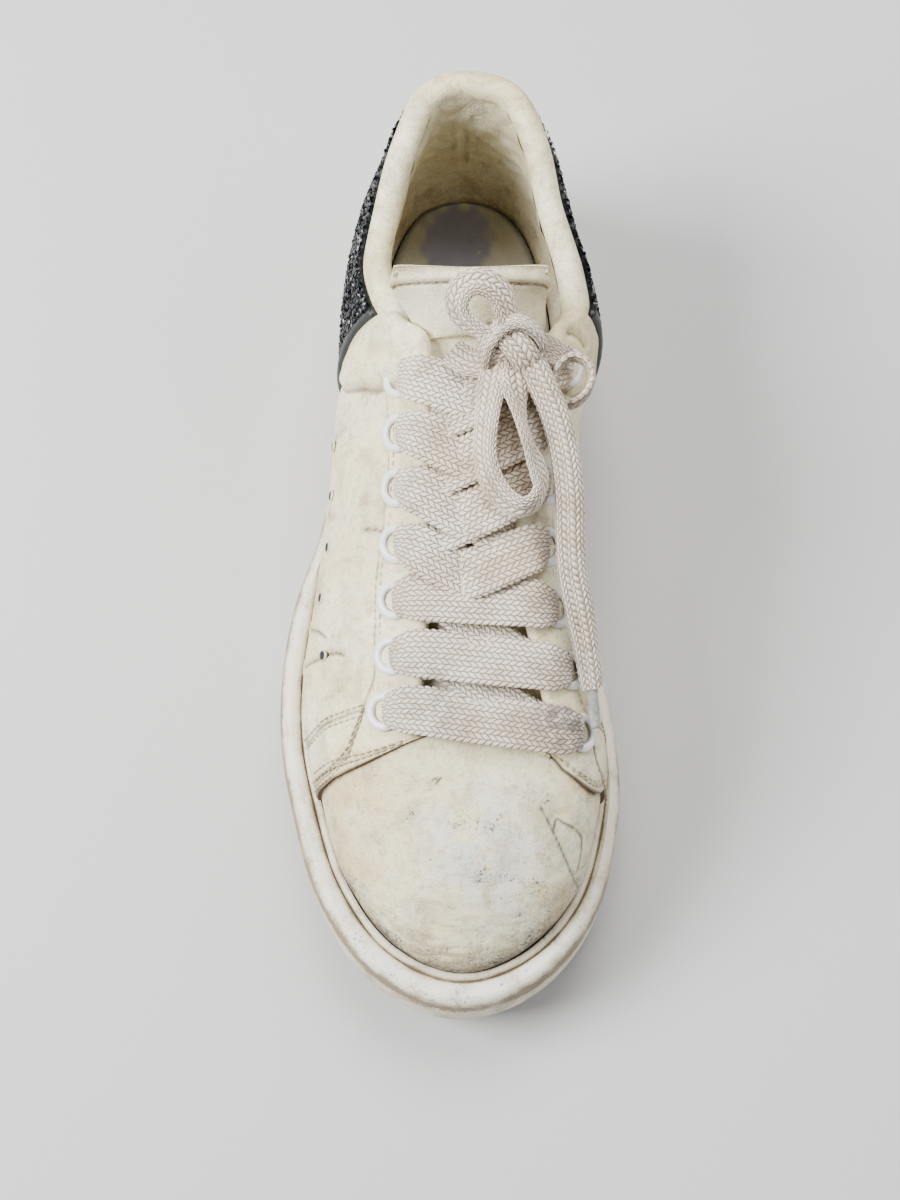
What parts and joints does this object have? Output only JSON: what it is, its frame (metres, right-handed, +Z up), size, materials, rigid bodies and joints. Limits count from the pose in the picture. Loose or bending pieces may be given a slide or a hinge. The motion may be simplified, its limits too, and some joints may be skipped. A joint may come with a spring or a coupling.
{
  "type": "sneaker",
  "caption": "Worn low leather sneaker for the right foot: thick cup sole, padded tongue, round eyelets, flat laces in a bow, dark speckled heel patch.",
  "frame": {"origin": "centre of the whole sole's box, on the ground the sole stands on", "axes": "+Z up from the ground, -Y towards the toe and +Y towards the heel, +X towards the big-toe side"},
  "size_m": [0.1073, 0.2858, 0.1297],
  "materials": {
    "upper_leather": "cream white smooth leather, creased, scuffed and dirty",
    "sole_rubber": "off-white moulded rubber, chalky and stained brown at the edges",
    "tread_rubber": "off-white tread rubber, dirty",
    "insole_leather": "cream leather sock with a worn grey patch",
    "tongue_leather": "pale padded leather, bare of any print",
    "glitter_fabric": "coarse black glitter with silver flecks",
    "eyelet_enamel": "white enamel",
    "lace_cotton": "off-white flat braided cotton, greyed by dirt",
    "lace_tip_film": "grey translucent film"
  },
  "bodies": {
    "root": {"upper": "upper_leather", "midsole": "sole_rubber", "outsole": "tread_rubber", "insole": "insole_leather", "tongue": "tongue_leather", "heel_counter": "glitter_fabric", "eyelet_outer_1": "eyelet_enamel", "eyelet_outer_2": "eyelet_enamel", "eyelet_outer_3": "eyelet_enamel", "eyelet_outer_4": "eyelet_enamel", "eyelet_outer_5": "eyelet_enamel", "eyelet_outer_6": "eyelet_enamel", "eyelet_outer_7": "eyelet_enamel", "eyelet_inner_1": "eyelet_enamel", "eyelet_inner_2": "eyelet_enamel", "eyelet_inner_3": "eyelet_enamel", "eyelet_inner_4": "eyelet_enamel", "eyelet_inner_5": "eyelet_enamel", "eyelet_inner_6": "eyelet_enamel", "eyelet_inner_7": "eyelet_enamel", "lace_crossings": "lace_cotton", "lace_knot": "lace_cotton", "lace_loop_standing": "lace_cotton", "lace_loop_hanging": "lace_cotton", "lace_end": "lace_cotton", "lace_tip": "lace_tip_film"}
  },
  "joints": []
}
